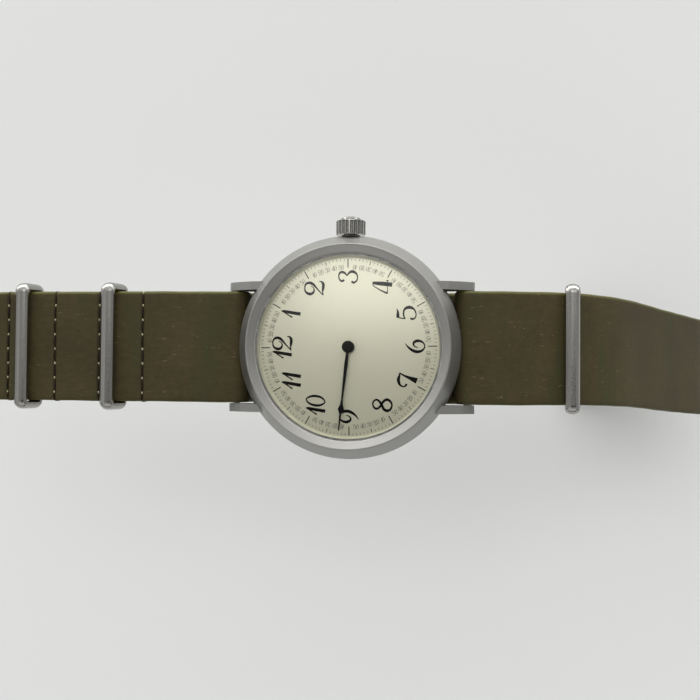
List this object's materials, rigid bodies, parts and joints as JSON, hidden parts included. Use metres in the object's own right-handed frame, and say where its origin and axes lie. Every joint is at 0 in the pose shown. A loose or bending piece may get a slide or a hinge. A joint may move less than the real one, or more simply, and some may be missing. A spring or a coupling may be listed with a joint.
{
  "type": "wristwatch",
  "caption": "Round steel wristwatch with one hour hand, domed crystal and fluted crown, on a one-piece leather strap with stitched-in metal rings and a pin buckle.",
  "frame": {"origin": "middle of the strap's underside below the case back, where the watch lies on the wrist", "axes": "+Z out of the dial, +X towards 6 o'clock and the strap's tail, +Y towards 3 o'clock and the crown"},
  "size_m": [0.1613, 0.0429, 0.0916],
  "materials": {
    "case_steel": "fine bead-blasted",
    "polished_steel": "polished",
    "crystal": "polished sapphire",
    "gasket": "matt",
    "dial": "fine matt ivory lacquer",
    "hand": "black, satin",
    "brass": "gilt",
    "rhodium": "rhodium-plated, matt",
    "blued_steel": "blued",
    "spring_steel": "bright",
    "ruby": "polished ruby",
    "leather": "waxed, matt",
    "thread": "waxed thread"
  },
  "bodies": {
    "watch": {"case_middle": "case_steel", "crown_tube": "case_steel", "bezel": "case_steel", "crystal": "crystal", "crystal_gasket": "gasket", "flange_ring": "polished_steel", "dial": "dial", "case_back": "case_steel", "case_back_gasket": "gasket", "movement_ring": "brass", "main_plate": "rhodium", "barrel_bridge": "rhodium", "train_bridge": "rhodium", "balance_cock": "rhodium", "pallet_bridge": "rhodium", "jewels": "ruby", "movement_screws": "blued_steel", "click_spring": "spring_steel", "hairspring": "spring_steel", "spring_bar_left": "polished_steel", "spring_bar_right": "polished_steel", "strap_main": "leather", "strap_under": "leather", "stitching": "thread"},
    "bar_tip_left_upper": {"bar_tip_left_upper": "polished_steel"},
    "bar_tip_left_lower": {"bar_tip_left_lower": "polished_steel"},
    "bar_tip_right_upper": {"bar_tip_right_upper": "polished_steel"},
    "bar_tip_right_lower": {"bar_tip_right_lower": "polished_steel"},
    "crown_slide": {"crown_gasket": "gasket"},
    "crown": {"crown": "polished_steel", "winding_stem": "polished_steel"},
    "sliding_pinion": {"sliding_pinion": "polished_steel"},
    "winding_pinion": {"winding_pinion": "polished_steel"},
    "crown_wheel": {"crown_wheel": "polished_steel"},
    "ratchet": {"ratchet_wheel": "polished_steel"},
    "click": {"click": "polished_steel"},
    "barrel": {"barrel": "brass", "mainspring": "spring_steel"},
    "centre_wheel": {"centre_wheel": "brass"},
    "third_wheel": {"third_wheel": "brass"},
    "fourth_wheel": {"fourth_wheel": "brass"},
    "escape_wheel": {"escape_wheel": "polished_steel"},
    "pallet_fork": {"pallet_fork": "polished_steel"},
    "balance": {"balance_wheel": "brass"},
    "hand": {"hour_hand": "hand", "hour_wheel": "brass"},
    "cannon_pinion": {"cannon_pinion": "polished_steel"},
    "minute_wheel": {"minute_wheel": "brass"},
    "setting_wheel": {"setting_wheel": "brass"},
    "setting_lever": {"setting_lever": "polished_steel"},
    "yoke": {"yoke": "polished_steel"},
    "keeper_near": {"keeper_near": "case_steel"},
    "keeper_far": {"keeper_far": "case_steel"},
    "end_ring": {"end_ring": "case_steel"},
    "buckle": {"buckle_bar": "polished_steel", "buckle_frame": "case_steel"},
    "tongue": {"buckle_tongue": "case_steel"}
  },
  "joints": [
    {"name": "bar_tip_left_upper_push", "type": "slide", "parent": "watch", "child": "bar_tip_left_upper", "axis": [0, -1, 0], "range_m": [0, 0.0012], "stiffness_N_per_m": 300},
    {"name": "bar_tip_left_lower_push", "type": "slide", "parent": "watch", "child": "bar_tip_left_lower", "axis": [0, 1, 0], "range_m": [0, 0.0012], "stiffness_N_per_m": 300},
    {"name": "bar_tip_right_upper_push", "type": "slide", "parent": "watch", "child": "bar_tip_right_upper", "axis": [0, -1, 0], "range_m": [0, 0.0012], "stiffness_N_per_m": 300},
    {"name": "bar_tip_right_lower_push", "type": "slide", "parent": "watch", "child": "bar_tip_right_lower", "axis": [0, 1, 0], "range_m": [0, 0.0012], "stiffness_N_per_m": 300},
    {"name": "crown_pull", "type": "slide", "parent": "watch", "child": "crown_slide", "axis": [0, 1, 0], "range_m": [0, 0.0008]},
    {"name": "crown_turn", "type": "hinge", "parent": "crown_slide", "child": "crown", "pos_m": [0, 0.01, 0.0072], "axis": [0, 1, 0], "continuous": true},
    {"name": "pinion_shift", "type": "slide", "parent": "crown", "child": "sliding_pinion", "axis": [0, 1, 0], "range_m": [-0.00144, 0]},
    {"name": "winding_pinion_turn", "type": "hinge", "parent": "watch", "child": "winding_pinion", "pos_m": [0, 0.01, 0.0072], "axis": [0, 1, 0], "continuous": true},
    {"name": "crown_wheel_turn", "type": "hinge", "parent": "watch", "child": "crown_wheel", "pos_m": [0, 0.00754, 0.0053], "axis": [0, 0, 1], "continuous": true},
    {"name": "ratchet_turn", "type": "hinge", "parent": "watch", "child": "ratchet", "pos_m": [-0.00525, 0.00279, 0.0053], "axis": [0, 0, 1], "continuous": true},
    {"name": "click_rock", "type": "hinge", "parent": "watch", "child": "click", "pos_m": [-0.01021, -0.00069, 0.0053], "axis": [0, 0, 1], "range_deg": [0, 6], "stiffness_Nm_per_rad": 0.00002},
    {"name": "fourth_turn", "type": "hinge", "parent": "watch", "child": "fourth_wheel", "pos_m": [0.00688, -0.00433, 0.0072], "axis": [0, 0, 1], "continuous": true},
    {"name": "barrel_turn", "type": "hinge", "parent": "watch", "child": "barrel", "pos_m": [-0.00525, 0.00279, 0.0072], "axis": [0, 0, 1], "continuous": true},
    {"name": "centre_turn", "type": "hinge", "parent": "watch", "child": "centre_wheel", "pos_m": [0, 0, 0.0072], "axis": [0, 0, 1], "continuous": true},
    {"name": "third_turn", "type": "hinge", "parent": "watch", "child": "third_wheel", "pos_m": [0.00307, -0.00366, 0.0072], "axis": [0, 0, 1], "continuous": true},
    {"name": "escape_turn", "type": "hinge", "parent": "watch", "child": "escape_wheel", "pos_m": [0.00854, -0.00144, 0.0072], "axis": [0, 0, 1], "continuous": true},
    {"name": "pallet_rock", "type": "hinge", "parent": "watch", "child": "pallet_fork", "pos_m": [0.00854, 0.00093, 0.0072], "axis": [0, 0, 1], "range_deg": [-5, 5]},
    {"name": "balance_swing", "type": "hinge", "parent": "watch", "child": "balance", "pos_m": [0.00797, 0.00422, 0.0072], "axis": [0, 0, 1], "range_deg": [-270, 270], "stiffness_Nm_per_rad": 0.0000001},
    {"name": "hand_turn", "type": "hinge", "parent": "watch", "child": "hand", "pos_m": [0, 0, 0.0072], "axis": [0, 0, 1], "continuous": true},
    {"name": "cannon_turn", "type": "hinge", "parent": "watch", "child": "cannon_pinion", "pos_m": [0, 0, 0.0072], "axis": [0, 0, 1], "continuous": true},
    {"name": "minute_turn", "type": "hinge", "parent": "watch", "child": "minute_wheel", "pos_m": [0.00104, 0.00285, 0.0072], "axis": [0, 0, 1], "continuous": true},
    {"name": "setting_wheel_turn", "type": "hinge", "parent": "watch", "child": "setting_wheel", "pos_m": [0.00068, 0.00624, 0.0072], "axis": [0, 0, 1], "continuous": true},
    {"name": "setting_lever_rock", "type": "hinge", "parent": "watch", "child": "setting_lever", "pos_m": [-0.00344, 0.00869, 0.00835], "axis": [0, 0, 1], "range_deg": [-8, 0]},
    {"name": "yoke_rock", "type": "hinge", "parent": "watch", "child": "yoke", "pos_m": [-0.00465, 0.00526, 0.00835], "axis": [0, 0, 1], "range_deg": [-7, 0]},
    {"name": "keeper_near_tilt", "type": "hinge", "parent": "watch", "child": "keeper_near", "pos_m": [-0.04266, 0, 0.00455], "axis": [0, 1, 0], "range_deg": [-3, 22]},
    {"name": "keeper_far_tilt", "type": "hinge", "parent": "watch", "child": "keeper_far", "pos_m": [-0.05911, 0, 0.00374], "axis": [0, 1, 0], "range_deg": [-10, 22]},
    {"name": "end_ring_tilt", "type": "hinge", "parent": "watch", "child": "end_ring", "pos_m": [0.03986, 0, -0.0031], "axis": [0, 1, 0], "range_deg": [0, 30]},
    {"name": "buckle_swing", "type": "hinge", "parent": "watch", "child": "buckle", "pos_m": [-0.075, 0, 0.00356], "axis": [0, 1, 0], "range_deg": [-25, 30]},
    {"name": "tongue_lift", "type": "hinge", "parent": "buckle", "child": "tongue", "pos_m": [-0.075, 0, 0.00356], "axis": [0, 1, 0], "range_deg": [0, 60]}
  ],
  "couplings": [
    {"joint": "pinion_shift", "follows": "crown_pull", "ratio": -1.8},
    {"joint": "winding_pinion_turn", "follows": "crown_turn", "ratio": 1},
    {"joint": "crown_wheel_turn", "follows": "crown_turn", "ratio": 0.53846},
    {"joint": "ratchet_turn", "follows": "crown_turn", "ratio": -0.31818},
    {"joint": "third_turn", "follows": "fourth_turn", "ratio": -0.13333},
    {"joint": "centre_turn", "follows": "fourth_turn", "ratio": 0.016667},
    {"joint": "barrel_turn", "follows": "fourth_turn", "ratio": -0.0027778},
    {"joint": "escape_turn", "follows": "fourth_turn", "ratio": -10},
    {"joint": "minute_turn", "follows": "hand_turn", "ratio": -4},
    {"joint": "cannon_turn", "follows": "hand_turn", "ratio": 12},
    {"joint": "setting_wheel_turn", "follows": "hand_turn", "ratio": 8},
    {"joint": "setting_lever_rock", "follows": "crown_pull", "rad_per_m": -163.62},
    {"joint": "yoke_rock", "follows": "crown_pull", "rad_per_m": -141.81}
  ]
}
